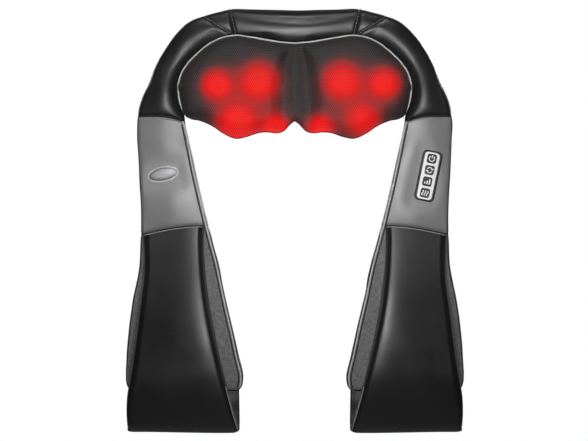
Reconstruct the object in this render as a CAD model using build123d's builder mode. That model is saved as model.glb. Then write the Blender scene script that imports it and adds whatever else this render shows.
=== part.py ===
"""Shiatsu neck massager: a padded pod with geared massage heads and two hanging arms.

Millimetres. +X to the right as the neck side is looked at, -Y towards the wearer's neck,
+Z up. The origin is the middle of the pod's neck side, on the plane of the front frame.
"""

from build123d import *
from math import cos, pi, radians, sin, tan
import os

os.makedirs("parts", exist_ok=True)

# ---------------------------------------------------------------- driving dimensions
SKIN = 1.6  # leather, fabric and lining
GAP = 0.2  # between pieces that only lie against each other
HINGE_GAP = 0.3  # each side of the line where an arm folds
HINGE_Z = -38.5
ARM_FRONT = -30.0  # Y of the arm's front face, where the fold line runs
PIPING_R = 1.2
PIPING_Y = -15.3

CARRIER_X = 67.0
CARRIER_Z = -6.5
CARRIER_SPOTS = [(CARRIER_X, CARRIER_Z), (-CARRIER_X, CARRIER_Z)]
SHAFT_R = 4.0
RUNNING = 0.04  # radial clearance of a shaft in its bush

MODULE = 1.25
WHEEL_TEETH = 40
WHEEL_PITCH_R = MODULE * WHEEL_TEETH / 2
WORM_PITCH_R = 6.0
WORM_LEAD = pi * MODULE
WORM_LENGTH = 20.0
WHEEL_FACE = 6.0
TOOTH_WIDTH = 1.6  # at the pitch line, leaving backlash on both flanks
PRESSURE = tan(radians(20))
MOTOR_Y = 30.0
MOTOR_Z = CARRIER_Z + WHEEL_PITCH_R + WORM_PITCH_R
MOTOR_R = 14.0
MOTOR_HALF = 19.0
ROTOR_SHAFT_R = 2.0

HEAD_BACK = -9.0  # Y of the carrier's front, on which the heads stand
LARGE_HEAD_R, LARGE_HEAD_AT = 15.0, 31.5
SMALL_HEAD_R, SMALL_HEAD_AT = 12.5, 34.0

BUTTON_SIZE, BUTTON_PITCH, BUTTON_TRAVEL = 11.9, 15.1, 0.8
CONTROLLER_TILT = 11.5
CONTROLLER_AT = (173.5, ARM_FRONT, -114.3)
BADGE_TILT = 11.0
BADGE_AT = (-171.2, ARM_FRONT, -112.3)

# Half outlines as (X, Z), right side; the left side is their mirror image.
MESH_HALF = [
    (0, 59), (33, 63), (78, 70), (100, 64), (128, 44), (149, 17), (152, 2), (144, -37),
    (124, -41), (100, -53), (82, -63.5), (62, -61), (42, -56), (24, -57.5), (12, -53), (3, -42),
]
SEAM_X = 85.0  # where the middle of the band is sewn to the shoulders
ARM_OUTLINE = [
    (204, -38.8), (203.6, -80), (200, -175), (201, -222), (209.5, -265), (218.5, -345),
    (219.2, -397), (67, -397), (69.5, -367), (88.3, -282), (100.5, -226), (115, -171),
    (129.7, -105), (137, -71), (142.2, -38.8),
]
ARM_RADII = [0, 60, 60, 60, 60, 60, 14, 12, 40, 60, 60, 60, 60, 60, 0]
PANEL_OUTLINE = [
    (197.6, -39.2), (197.2, -80), (194.6, -150), (193.8, -186), (118.5, -181), (117, -171),
    (131.8, -105), (139, -71), (144, -39.2),
]
PAD_TOP = -186.0
ARM_PIPING = [
    (140.6, -39.2), (135.3, -71.3), (128, -105.5), (113.4, -171), (98.6, -227), (86.4, -283),
    (67.6, -368), (65.3, -386),
]
FLAP_OUTLINE = [
    (197, -181), (195.4, -243), (205.3, -328), (216.5, -397), (217.3, -450), (69.6, -450),
    (85.8, -394), (104, -316), (117.5, -226), (118.6, -181),
]
REAR_FLAP_OUTLINE = [(217, -385), (217.3, -450), (69.6, -450), (71.5, -385)]
FOLD_Y = -41.5  # where the hand loop's front and rear flaps are sewn together
# Profiles as (Y, Z), across the arm and the band.
BAND_PROFILE = [
    (-30, -38.2), (-30, 0), (-24, 50), (-22, 84), (-6, 103.5), (24, 103.5), (46, 88),
    (52, 45), (20, -12), (0, -38.2),
]
BAND_RADII = [0, 20, 20, 14, 12, 12, 16, 20, 20, 0]
ARM_PROFILE = [(-30, -38.8), (-30, -186), (-27, -190), (-27, -397), (-3, -397), (0, -38.8)]
ARM_PROFILE_RADII = [0, 3, 3, 11, 11, 0]
FLAP_LINE = [(-32.2, -181), (-33.6, -200), (-47, -300), (-62.5, -444), (-20.5, -444), (-20.5, -394)]
FLAP_RADII = [60, 150, 19, 19]
FLAP_THICK = 4.2
# The pod's back, from the side as (Y, Z) and from above as (X, Y).
POD_SIDE = [(-20, -72), (34, -66), (61, -36), (61, 36), (47, 74), (-20, 78)]
POD_TOP = [(-154, -20), (-154, 24), (-118, 50), (-70, 61), (70, 61), (118, 50), (154, 24), (154, -20)]

BOSS_SPOTS = [(s * x, z) for x, z in ((132, 18), (132, -18), (22, 47), (27, -47.5)) for s in (1, -1)]
DOME_PROFILE = [(0, -10), (50.5, -10), (50.5, -18), (49, -26), (44, -35), (35, -38.6), (0, -38.6)]
INLET_NORMAL = (0, 30, -27)
INLET_AT = (40, 51.5, -46.5)


# ---------------------------------------------------------------- outlines and prisms
def both_sides(half):
    """A closed outline from its right half, which starts and ends on or near the middle."""
    return half + [(-x, z) for x, z in reversed(half) if x > 0]


def flipped(points, side):
    """The outline on the right (side 1) or the left (side -1)."""
    return [(side * x, z) for x, z in points]


def face_on(plane, points, radii, inset=0.0):
    """A closed outline with rounded corners, drawn in by inset (or out, if negative)."""
    with BuildSketch(plane) as drawing:
        with BuildLine():
            FilletPolyline(*points, radius=radii, close=True)
        make_face()
        if inset:
            offset(amount=-inset, mode=Mode.REPLACE)
    return drawing.sketch


def front_face(points, radii, y, inset=0.0):
    """An outline seen from the front, standing at depth y; it extrudes towards -Y."""
    return face_on(Plane.XZ.offset(-y), points, radii, inset)


def side_face(points, radii, inset=0.0):
    """An outline seen from the side, standing in the middle plane."""
    return face_on(Plane.YZ, points, radii, inset)


def pod_prism(inset, y_front, y_back):
    """The pod's outline between two depths, with its rounded back."""
    with BuildPart() as prism:
        extrude(front_face(both_sides(MESH_HALF), 5, y_back, inset), amount=y_back - y_front)
        extrude(side_face(POD_SIDE, 12, inset), amount=200, both=True, mode=Mode.INTERSECT)
        extrude(face_on(Plane.XY, POD_TOP, 14, inset), amount=120, both=True, mode=Mode.INTERSECT)
    return prism.part


def dome(side, inset):
    """The round swelling of the mesh over one carrier."""
    axis_plane = Plane(origin=(side * CARRIER_X, 0, CARRIER_Z), x_dir=(1, 0, 0), z_dir=(0, 0, 1))
    points = [(0, -9)] + [(r - inset * (r > 0), y + inset * (y < -30)) for r, y in DOME_PROFILE[1:]]
    with BuildPart() as swelling:
        with BuildSketch(axis_plane):
            with BuildLine():
                FilletPolyline(*points, radius=[0, 0, 6, 5, 3, 3, 0], close=True)
            make_face()
        revolve(axis=Axis((side * CARRIER_X, 0, CARRIER_Z), (0, 1, 0)))
    return swelling.part


def band_prism(points, radii, inset):
    """A stretch of the padded band: its front outline and its profile together."""
    with BuildPart() as stretch:
        extrude(front_face(points, radii, 80, inset), amount=160)
        extrude(front_face(both_sides(MESH_HALF), 5, 80, -GAP - inset), amount=160, mode=Mode.SUBTRACT)
        extrude(side_face(BAND_PROFILE, BAND_RADII, inset), amount=240, both=True, mode=Mode.INTERSECT)
        groove = front_face(both_sides(MESH_HALF), 5, PIPING_Y + 1.3, -2.7 - inset)
        extrude(groove, amount=60, mode=Mode.SUBTRACT)
    return stretch.part


def arm_prism(side, inset):
    """The whole padded arm, or its core drawn in by inset."""
    with BuildPart() as limb:
        extrude(front_face(flipped(ARM_OUTLINE, side), ARM_RADII, 0, inset), amount=40)
        profile = side_face(ARM_PROFILE, ARM_PROFILE_RADII, inset)
        extrude(profile, amount=240, both=True, mode=Mode.INTERSECT)
    return limb.part


def discs(spots, radius, y):
    """Round faces at depth y, seen from the front; they extrude towards -Y."""
    with BuildSketch(Plane.XZ.offset(-y)) as drawing:
        with Locations(*spots):
            Circle(radius)
    return drawing.sketch


def below(z):
    """A large block under height z."""
    return Pos(0, 0, z - 400) * Box(600, 400, 800, mode=Mode.PRIVATE)


def save(part, label):
    part.label = label
    export_step(part, f"parts/{label}.step")


# ---------------------------------------------------------------- pod: soft covers
with BuildPart() as mesh_cover:
    extrude(front_face(both_sides(MESH_HALF), 5, 0, GAP), amount=14)
    for side in (1, -1):
        add(dome(side, 0))
    extrude(front_face(both_sides(MESH_HALF), 5, 0, GAP + SKIN), amount=14 - SKIN, mode=Mode.SUBTRACT)
    for side in (1, -1):
        add(dome(side, SKIN), mode=Mode.SUBTRACT)
save(mesh_cover.part, "mesh_cover")

with BuildPart() as back_cover:
    add(pod_prism(0, 0, 70))
    add(pod_prism(2, -1, 70), mode=Mode.SUBTRACT)
    inlet_plane = Plane(origin=INLET_AT, x_dir=(1, 0, 0), z_dir=INLET_NORMAL)
    with BuildSketch(inlet_plane):
        Circle(9.4)
    extrude(amount=8, both=True, mode=Mode.SUBTRACT)
save(back_cover.part, "back_cover")

YOKE_OUTLINE = [(-SEAM_X, 30), (-SEAM_X, 103), (0, 101), (SEAM_X, 103), (SEAM_X, 30)]
SHOULDER_OUTLINE = [
    (SEAM_X, 20), (SEAM_X, 102.8), (118, 93), (143, 80), (157, 61), (186, 12), (203.6, -31),
    (204, -38.2), (142.4, -38.2), (125, -20),
]
SHOULDER_RADII = [0, 0, 25, 25, 40, 60, 12, 0, 0, 0]

with BuildPart() as yoke_foam:
    add(band_prism(YOKE_OUTLINE, 0, SKIN))
save(yoke_foam.part, "yoke_foam")

with BuildPart() as yoke_leather:
    add(band_prism(YOKE_OUTLINE, 0, 0))
    add(yoke_foam.part, mode=Mode.SUBTRACT)
save(yoke_leather.part, "yoke_leather")

for side, name in ((1, "right"), (-1, "left")):
    shoulder_points = flipped(SHOULDER_OUTLINE, side)
    with BuildPart() as shoulder_foam:
        add(band_prism(shoulder_points, SHOULDER_RADII, SKIN))
    save(shoulder_foam.part, f"{name}_shoulder_foam")

    with BuildPart() as shoulder_leather:
        add(band_prism(shoulder_points, SHOULDER_RADII, 0))
        add(shoulder_foam.part, mode=Mode.SUBTRACT)
    save(shoulder_leather.part, f"{name}_shoulder_leather")

with BuildPart() as pod_piping:
    piping_face = front_face(both_sides(MESH_HALF), 5, PIPING_Y, -GAP - 1.25)
    piping_wire = piping_face.faces()[0].outer_wire()
    with BuildSketch(Plane(origin=piping_wire @ 0, z_dir=piping_wire % 0)):
        Circle(PIPING_R)
    sweep(path=piping_wire)
    add(below(HINGE_Z + HINGE_GAP), mode=Mode.SUBTRACT)
save(pod_piping.part, "pod_piping")

# ---------------------------------------------------------------- pod: frame and housing
with BuildPart() as front_frame:
    extrude(front_face(both_sides(MESH_HALF), 5, 3, 2.4), amount=2.8)
    extrude(discs(CARRIER_SPOTS, 9.5, 9.5), amount=7)
    extrude(discs(CARRIER_SPOTS, 6.5, 10), amount=10, mode=Mode.SUBTRACT)
    extrude(discs(BOSS_SPOTS, 1.7, 4), amount=5, mode=Mode.SUBTRACT)
save(front_frame.part, "front_frame")

cavity = pod_prism(4.8, 3, 70)
with BuildPart() as rear_housing:
    add(pod_prism(2.2, 3.2, 70))
    add(cavity, mode=Mode.SUBTRACT)
    add(extrude(discs(BOSS_SPOTS, 4, 60), amount=56.8, mode=Mode.PRIVATE) & cavity)
    extrude(discs(BOSS_SPOTS, 1.4, 16), amount=14, mode=Mode.SUBTRACT)
    # two saddles carry the motor
    for x in (-14, 10):
        add(Pos(x + 2, 48, MOTOR_Z) * Box(4, 36, 32, mode=Mode.PRIVATE) & cavity)
    with BuildSketch(Plane.YZ.offset(-15)):
        with Locations((MOTOR_Y, MOTOR_Z)):
            Circle(MOTOR_R + 0.05)
    extrude(amount=30, mode=Mode.SUBTRACT)
    with BuildSketch(inlet_plane):
        Circle(7.2)
    extrude(amount=14, both=True, mode=Mode.SUBTRACT)
save(rear_housing.part, "rear_housing")

with BuildPart() as housing_screws:
    extrude(discs(BOSS_SPOTS, 3, 0.2), amount=1.8)
    extrude(discs(BOSS_SPOTS, 1.35, 13), amount=13)
save(housing_screws.part, "housing_screws")

with BuildPart() as power_inlet:
    with BuildSketch(inlet_plane):
        Circle(9.2)
    extrude(amount=1)
    with BuildSketch(inlet_plane):
        Circle(7)
    extrude(amount=-13)
    with BuildSketch(inlet_plane.offset(-5)):
        Circle(5.6)
    extrude(amount=7, mode=Mode.SUBTRACT)
    with BuildSketch(inlet_plane.offset(-12)):
        Circle(2.85)
        Circle(1.05, mode=Mode.SUBTRACT)
    extrude(amount=7.5, mode=Mode.SUBTRACT)
save(power_inlet.part, "power_inlet")

with BuildPart() as driver_board:
    with BuildSketch(Plane.XZ.offset(-45.6)):
        with Locations((0, -17)):
            Rectangle(56, 27)
    extrude(amount=1.6)
    with BuildSketch(Plane.XZ.offset(-44)):
        with Locations((-18, -12), (-9, -12)):
            Circle(3.6)
    extrude(amount=9)
    with BuildSketch(Plane.XZ.offset(-44)):
        with Locations((6, -12)):
            Rectangle(9, 9)
        with Locations((18, -19)):
            Rectangle(12, 7)
        with Locations((-12, -25)):
            Rectangle(18, 5)
    extrude(amount=3)
save(driver_board.part, "driver_board")

with BuildPart() as lamp_boards:
    for side in (1, -1):
        with BuildSketch(Plane.XZ.offset(-0.1)):
            with Locations((side * CARRIER_X, CARRIER_Z)):
                Circle(33)
                Circle(12, mode=Mode.SUBTRACT)
        extrude(amount=1.4)
        with BuildSketch(Plane.XZ.offset(1.2)):
            with Locations((side * CARRIER_X, CARRIER_Z)):
                with PolarLocations(28, 8):
                    Rectangle(3.5, 3.5)
        extrude(amount=1)
save(lamp_boards.part, "lamp_boards")

# ---------------------------------------------------------------- motor
motor_plane = Plane(origin=(0, MOTOR_Y, MOTOR_Z), x_dir=(0, 1, 0), z_dir=(1, 0, 0))
with BuildPart() as motor_can:
    with BuildSketch(motor_plane.offset(-MOTOR_HALF)):
        Circle(MOTOR_R)
    extrude(amount=2 * MOTOR_HALF - 3)
    with BuildSketch(motor_plane.offset(-MOTOR_HALF + 1.5)):
        Circle(MOTOR_R - 1.2)
    extrude(amount=2 * MOTOR_HALF, mode=Mode.SUBTRACT)
    with BuildSketch(motor_plane.offset(-MOTOR_HALF - 1)):
        Circle(ROTOR_SHAFT_R + RUNNING)
    extrude(amount=4, mode=Mode.SUBTRACT)
save(motor_can.part, "motor_can")

with BuildPart() as motor_end_cap:
    with BuildSketch(motor_plane.offset(MOTOR_HALF - 3)):
        Circle(MOTOR_R)
    extrude(amount=3)
    with BuildSketch(motor_plane.offset(MOTOR_HALF - 5)):
        Circle(MOTOR_R - 1.3)
        Circle(MOTOR_R - 3, mode=Mode.SUBTRACT)
    extrude(amount=2.5)
    with BuildSketch(motor_plane.offset(MOTOR_HALF - 4)):
        Circle(ROTOR_SHAFT_R + RUNNING)
    extrude(amount=6, mode=Mode.SUBTRACT)
save(motor_end_cap.part, "motor_end_cap")

with BuildPart() as motor_magnets:
    with BuildSketch(motor_plane.offset(-11)):
        Circle(MOTOR_R - 1.25)
        Circle(MOTOR_R - 4, mode=Mode.SUBTRACT)
        Rectangle(40, 7, mode=Mode.SUBTRACT)
    extrude(amount=20)
save(motor_magnets.part, "motor_magnets")

with BuildPart() as armature:
    with BuildSketch(motor_plane.offset(-11)):
        Circle(9)
        with PolarLocations(9, 5):
            Rectangle(5, 1.8, mode=Mode.SUBTRACT)
        Circle(ROTOR_SHAFT_R + 0.01, mode=Mode.SUBTRACT)
    extrude(amount=20)
    with BuildSketch(motor_plane.offset(9)):
        Circle(4)
        Circle(ROTOR_SHAFT_R + 0.01, mode=Mode.SUBTRACT)
    extrude(amount=4.5)
save(armature.part, "armature")

with BuildPart() as rotor_shaft:
    with BuildSketch(motor_plane.offset(-90)):
        Circle(ROTOR_SHAFT_R)
    extrude(amount=180)
save(rotor_shaft.part, "rotor_shaft")


# ---------------------------------------------------------------- worm drives
def worm(side):
    """A single-start worm round the rotor shaft, right-handed on the right side."""
    start = CARRIER_X - WORM_LENGTH / 2
    half_tip = TOOTH_WIDTH / 2 - MODULE * 0.9 * PRESSURE
    half_root = TOOTH_WIDTH / 2 + MODULE * 1.2 * PRESSURE
    tip, root = WORM_PITCH_R + MODULE * 0.9, WORM_PITCH_R - MODULE * 1.2
    with BuildPart() as screw:
        with BuildLine(Plane.XY, mode=Mode.PRIVATE) as path:
            Helix(pitch=WORM_LEAD, height=WORM_LENGTH - 5, radius=root)
        with BuildSketch(Plane(origin=path.line @ 0, x_dir=(1, 0, 0), z_dir=path.line % 0)):
            with BuildLine():
                Polyline((-0.4, -half_root), (tip - root, -half_tip), (tip - root, half_tip),
                         (-0.4, half_root), close=True)
            make_face()
        sweep(path=path.line, is_frenet=True)
        with BuildSketch(Plane.XY.offset(-2.5)):
            Circle(root)
        extrude(amount=WORM_LENGTH)
        with BuildSketch(Plane.XY.offset(-3)):
            Circle(ROTOR_SHAFT_R + 0.01)
        extrude(amount=WORM_LENGTH + 1, mode=Mode.SUBTRACT)
    # local Z lies along +X; the thread passes the wheel, straight below, at the carrier's X
    turn_at_wheel = 360 * (WORM_LENGTH / 2 - 2.5) / WORM_LEAD
    laid = Plane(origin=(start + 2.5, MOTOR_Y, MOTOR_Z), x_dir=(0, 0, -1), z_dir=(1, 0, 0))
    placed = laid * Rot(0, 0, -turn_at_wheel) * screw.part
    return placed if side > 0 else mirror(placed, about=Plane.YZ, mode=Mode.PRIVATE)


def worm_wheel(side):
    """A helical wheel whose tooth gap faces the worm above it."""
    slope = WORM_LEAD / (2 * pi * WORM_PITCH_R)
    twist = WHEEL_FACE / 2 * slope / WHEEL_PITCH_R * 180 / pi
    step = 360 / WHEEL_TEETH

    def outline_points(turn):
        points = []
        for tooth in range(WHEEL_TEETH):
            middle = radians((tooth + 0.5) * step + turn)
            for radial, sign in ((-1.2, -1), (0.9, -1), (0.9, 1), (-1.2, 1)):
                radius = WHEEL_PITCH_R + radial * MODULE
                half = TOOTH_WIDTH / 2 - radial * MODULE * PRESSURE
                angle = middle + sign * half / radius
                points.append((radius * sin(angle), radius * cos(angle)))
        return points

    with BuildPart() as wheel:
        for y, turn in ((MOTOR_Y + WHEEL_FACE / 2, twist), (MOTOR_Y - WHEEL_FACE / 2, -twist)):
            centre_plane = Plane(origin=(CARRIER_X, y, CARRIER_Z), x_dir=(1, 0, 0), z_dir=(0, -1, 0))
            with BuildSketch(centre_plane):
                with BuildLine():
                    Polyline(*outline_points(turn), close=True)
                make_face()
        loft(ruled=True)
        hub = Plane(origin=(CARRIER_X, MOTOR_Y + 7, CARRIER_Z), x_dir=(1, 0, 0), z_dir=(0, -1, 0))
        with BuildSketch(hub):
            Circle(9)
        extrude(amount=14)
        with BuildSketch(hub.offset(-1)):
            Circle(SHAFT_R + 0.01)
        extrude(amount=18, mode=Mode.SUBTRACT)
    return wheel.part if side > 0 else mirror(wheel.part, about=Plane.YZ, mode=Mode.PRIVATE)


# large and small heads stand on four arms; the angles are from +X towards +Z
HEAD_ANGLES = {1: (110, 20), -1: (60, 150)}

bushes = Part()
for side, name in ((1, "right"), (-1, "left")):
    centre = (side * CARRIER_X, CARRIER_Z)
    save(worm(side), f"{name}_worm")
    save(worm_wheel(side), f"{name}_worm_wheel")

    with BuildPart() as output_shaft:
        extrude(discs([centre], SHAFT_R, 48), amount=48 - HEAD_BACK)
        extrude(discs([centre], 1.65, 5), amount=20, mode=Mode.SUBTRACT)
    save(output_shaft.part, f"{name}_output_shaft")

    with BuildPart() as carrier_screw:
        extrude(discs([centre], 6, HEAD_BACK), amount=2.6)
        extrude(discs([centre], 1.6, 3), amount=3 - HEAD_BACK)
        with BuildSketch(Plane.XZ.offset(-HEAD_BACK + 1.4)):
            with Locations(centre):
                Rectangle(6, 1.2)
                Rectangle(1.2, 6)
        extrude(amount=3, mode=Mode.SUBTRACT)
    save(carrier_screw.part, f"{name}_carrier_screw")

    large_angle, small_angle = HEAD_ANGLES[side]
    centre_plane = Plane(origin=(centre[0], HEAD_BACK + 5, centre[1]), x_dir=(1, 0, 0), z_dir=(0, -1, 0))
    with BuildPart() as carrier:
        with BuildSketch(centre_plane):
            Circle(11)
            for reach, angle in ((LARGE_HEAD_AT, large_angle), (SMALL_HEAD_AT, small_angle)):
                with PolarLocations(reach / 2, 2, start_angle=angle):
                    Rectangle(reach, 11)
                with PolarLocations(reach, 2, start_angle=angle):
                    Circle(8)
            Circle(SHAFT_R + 0.01, mode=Mode.SUBTRACT)
        extrude(amount=5)
    save(carrier.part, f"{name}_carrier_plate")

    for size, radius, reach, angle in (
        ("large", LARGE_HEAD_R, LARGE_HEAD_AT, large_angle),
        ("small", SMALL_HEAD_R, SMALL_HEAD_AT, small_angle),
    ):
        with BuildPart() as heads:
            for turn in (angle, angle + 180):
                x = centre[0] + reach * cos(radians(turn))
                z = centre[1] + reach * sin(radians(turn))
                with Locations((x, HEAD_BACK - 0.75 * radius, z)):
                    Sphere(radius)
            add(Pos(0, HEAD_BACK + 50, 0) * Box(400, 100, 400, mode=Mode.PRIVATE), mode=Mode.SUBTRACT)
        save(heads.part, f"{name}_{size}_heads")

    with BuildPart() as gear_case:
        extrude(discs([centre], 30.5, 44), amount=21)
        with BuildSketch(motor_plane.offset(side * 52)):
            Circle(10.5)
        extrude(amount=side * 40)
        extrude(discs([centre], 10, 48), amount=5)
        extrude(discs([centre], 28, 41.5), amount=30, mode=Mode.SUBTRACT)
        with BuildSketch(motor_plane.offset(side * 34)):
            Circle(8.4)
        extrude(amount=side * 52, mode=Mode.SUBTRACT)
        with BuildSketch(motor_plane.offset(side * 80)):
            Circle(ROTOR_SHAFT_R + RUNNING)
        extrude(amount=side * 14, mode=Mode.SUBTRACT)
        extrude(discs([centre], 6.5, 50), amount=10, mode=Mode.SUBTRACT)
        inner, outer = centre[0] - side * 17, centre[0] + side * 17
        legs = discs([(inner, CARRIER_Z + 23), (inner, CARRIER_Z - 23), (outer, CARRIER_Z - 23)], 3, 64)
        add(extrude(legs, amount=21, mode=Mode.PRIVATE) & cavity)
    save(gear_case.part, f"{name}_gear_case")

    with BuildPart() as pair:
        for y_back, length in ((9.4, 9.2), (47.8, 6.2)):
            with BuildSketch(Plane.XZ.offset(-y_back)):
                with Locations(centre):
                    Circle(6.48)
                    Circle(SHAFT_R + RUNNING, mode=Mode.SUBTRACT)
            extrude(amount=length)
    bushes += pair.part
save(Compound(children=list(bushes.solids())), "shaft_bushes")

# ---------------------------------------------------------------- arms
for side, name in ((1, "right"), (-1, "left")):
    whole = arm_prism(side, 0)
    core = arm_prism(side, SKIN)

    with BuildPart() as foam:
        add(core)
    save(foam.part, f"{name}_arm_foam")

    with BuildPart() as grey_panel:
        panel_radii = [0, 60, 60, 0, 0, 4, 60, 60, 0]
        extrude(front_face(flipped(PANEL_OUTLINE, side), panel_radii, ARM_FRONT + SKIN), amount=SKIN)
    save(grey_panel.part, f"{name}_grey_panel")

    with BuildPart() as arm_cover:
        add(whole)
        add(core, mode=Mode.SUBTRACT)
        add(below(PAD_TOP), mode=Mode.SUBTRACT)
        add(grey_panel.part, mode=Mode.SUBTRACT)
    save(arm_cover.part, f"{name}_arm_cover")

    with BuildPart() as arm_pad:
        add(whole)
        add(core, mode=Mode.SUBTRACT)
        add(below(PAD_TOP), mode=Mode.INTERSECT)
    save(arm_pad.part, f"{name}_arm_pad")

    with BuildPart() as strip:
        with BuildSketch(Plane.YZ) as section:
            with BuildLine():
                FilletPolyline(*FLAP_LINE, radius=FLAP_RADII)
            trace(line_width=FLAP_THICK)
        extrude(section.sketch, amount=240, both=True)
        add(whole, mode=Mode.SUBTRACT)
    front_radii = [0, 120, 120, 120, 0, 0, 120, 120, 120, 0]
    behind_fold = Pos(0, FOLD_Y + 200, -400) * Box(600, 400, 200)
    front_shape = extrude(front_face(flipped(FLAP_OUTLINE, side), front_radii, 20), amount=120)
    rear_shape = extrude(front_face(flipped(REAR_FLAP_OUTLINE, side), 0, 20), amount=120)
    save((strip.part & front_shape) - behind_fold, f"{name}_front_flap")
    save(strip.part & rear_shape & behind_fold, f"{name}_rear_flap")

    with BuildPart() as arm_piping:
        with BuildLine() as edge:
            FilletPolyline(*[(side * x, -28, z) for x, z in ARM_PIPING], radius=60)
        with BuildSketch(Plane(origin=edge.line @ 0, z_dir=edge.line % 0)):
            Circle(PIPING_R)
        sweep(path=edge.line)
    save(arm_piping.part, f"{name}_arm_piping")

with BuildPart() as oval_badge:
    tilt = radians(BADGE_TILT)
    badge_plane = Plane(origin=BADGE_AT, x_dir=(cos(tilt), 0, sin(tilt)), z_dir=(0, -1, 0))
    with BuildSketch(badge_plane):
        Ellipse(20.75, 10.5)
    extrude(amount=2.2)
    with BuildSketch(badge_plane.offset(1.5)):
        Ellipse(18.6, 8.4)
    extrude(amount=3, mode=Mode.SUBTRACT)
save(oval_badge.part, "oval_badge")

# ---------------------------------------------------------------- controller on the right arm
lean = radians(CONTROLLER_TILT)
panel_plane = Plane(origin=CONTROLLER_AT, x_dir=(cos(lean), 0, -sin(lean)), z_dir=(0, -1, 0))
spots = [(0, BUTTON_PITCH * (1.5 - row)) for row in range(4)]

with BuildPart() as controller_bezel:
    with BuildSketch(panel_plane):
        RectangleRounded(26, 66, 6)
    extrude(amount=4.5)
    fillet(controller_bezel.faces().sort_by(Axis.Y)[0].edges(), 1.6)
    with BuildSketch(panel_plane.offset(3.3)):
        RectangleRounded(19.6, 61.7, 4.5)
    extrude(amount=2, mode=Mode.SUBTRACT)
    with BuildSketch(panel_plane.offset(-1)):
        RectangleRounded(17, 59, 3)
    extrude(amount=5, mode=Mode.SUBTRACT)
save(controller_bezel.part, "controller_bezel")

with BuildPart() as controller_plate:
    with BuildSketch(panel_plane.offset(3.3)):
        RectangleRounded(19.4, 61.5, 4.4)
        with Locations(*spots):
            RectangleRounded(BUTTON_SIZE + 0.4, BUTTON_SIZE + 0.4, 2.6, mode=Mode.SUBTRACT)
    extrude(amount=1.2)
save(controller_plate.part, "controller_plate")

with BuildPart() as controller_board:
    with BuildSketch(panel_plane):
        RectangleRounded(16.6, 58.6, 2.5)
    extrude(amount=0.8)
    with BuildSketch(panel_plane.offset(0.8)):
        with Locations(*spots):
            Rectangle(4.5, 4.5)
    extrude(amount=0.7)
save(controller_board.part, "controller_board")

for (x, y), label in zip(spots, ("power", "direction", "speed", "heat")):
    with BuildPart() as button:
        with BuildSketch(panel_plane.offset(2.4)):
            with Locations((x, y)):
                RectangleRounded(BUTTON_SIZE + 1.6, BUTTON_SIZE + 1.6, 2.6)
        extrude(amount=0.8)
        with BuildSketch(panel_plane.offset(3)):
            with Locations((x, y)):
                RectangleRounded(BUTTON_SIZE, BUTTON_SIZE, 2.5)
        extrude(amount=2.3)
        fillet(button.faces().sort_by(Axis.Y)[0].edges(), 0.5)
    save(button.part, f"{label}_button")
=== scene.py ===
"""Looks of the shiatsu neck massager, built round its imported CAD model.

Lengths in the tables below are millimetres, as in the CAD source; MM turns them into metres.
+X right, -Y towards the wearer's neck (the side the camera sees), +Z up.
"""

import math

import bmesh
import bpy
import numpy as np
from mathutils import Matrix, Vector, noise


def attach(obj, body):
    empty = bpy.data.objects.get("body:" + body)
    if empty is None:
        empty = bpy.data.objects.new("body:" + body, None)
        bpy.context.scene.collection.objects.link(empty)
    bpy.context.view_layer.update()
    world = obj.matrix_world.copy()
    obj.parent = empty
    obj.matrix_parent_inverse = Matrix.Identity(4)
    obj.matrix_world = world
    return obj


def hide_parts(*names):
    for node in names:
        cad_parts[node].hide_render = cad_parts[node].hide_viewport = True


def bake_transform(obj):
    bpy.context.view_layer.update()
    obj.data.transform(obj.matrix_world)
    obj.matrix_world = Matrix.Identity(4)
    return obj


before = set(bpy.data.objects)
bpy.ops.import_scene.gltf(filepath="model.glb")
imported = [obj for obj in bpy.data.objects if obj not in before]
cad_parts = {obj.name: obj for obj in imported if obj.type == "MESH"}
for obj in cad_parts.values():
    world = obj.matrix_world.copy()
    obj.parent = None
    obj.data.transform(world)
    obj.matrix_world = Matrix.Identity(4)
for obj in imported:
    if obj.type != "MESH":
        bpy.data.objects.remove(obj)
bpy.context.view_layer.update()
MM = 0.001
SIDES = ((1, "right"), (-1, "left"))
FORWARD = np.array([0.0, -1.0, 0.0])  # towards the camera

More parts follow.
